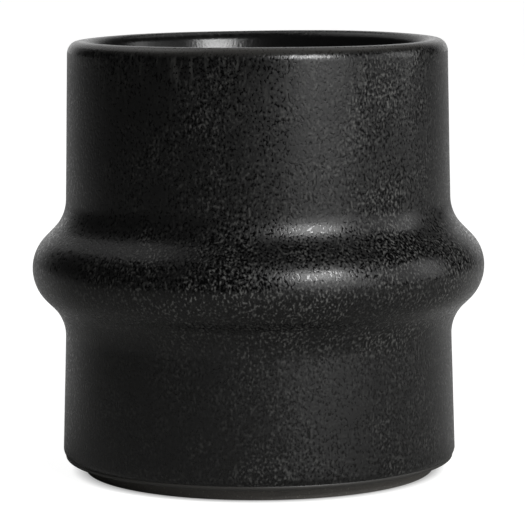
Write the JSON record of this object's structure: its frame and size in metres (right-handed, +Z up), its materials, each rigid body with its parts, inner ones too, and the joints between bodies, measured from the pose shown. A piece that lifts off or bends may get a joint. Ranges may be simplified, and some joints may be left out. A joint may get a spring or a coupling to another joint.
{
  "type": "handleless mug",
  "caption": "Handleless thick-walled stoneware mug, near-cylindrical with a soft rounded ring round its waist for grip, a rounded lip and a set-in foot ring.",
  "frame": {"origin": "centre of the foot ring's resting face, on the surface that the mug stands on", "axes": "+Z up along the mug's axis, towards the rim; the mug is round, so X and Y are free"},
  "size_m": [0.094, 0.094, 0.09],
  "materials": {
    "bare_stoneware": "matt, fired, unglazed charcoal clay",
    "black_satin_glaze": "satin black reactive glaze with fine speckle",
    "black_liner_glaze": "smooth satin black liner glaze"
  },
  "bodies": {
    "root": {"stoneware_body": "bare_stoneware", "outer_glaze": "black_satin_glaze", "liner_glaze": "black_liner_glaze", "base_glaze": "black_satin_glaze"}
  },
  "joints": []
}
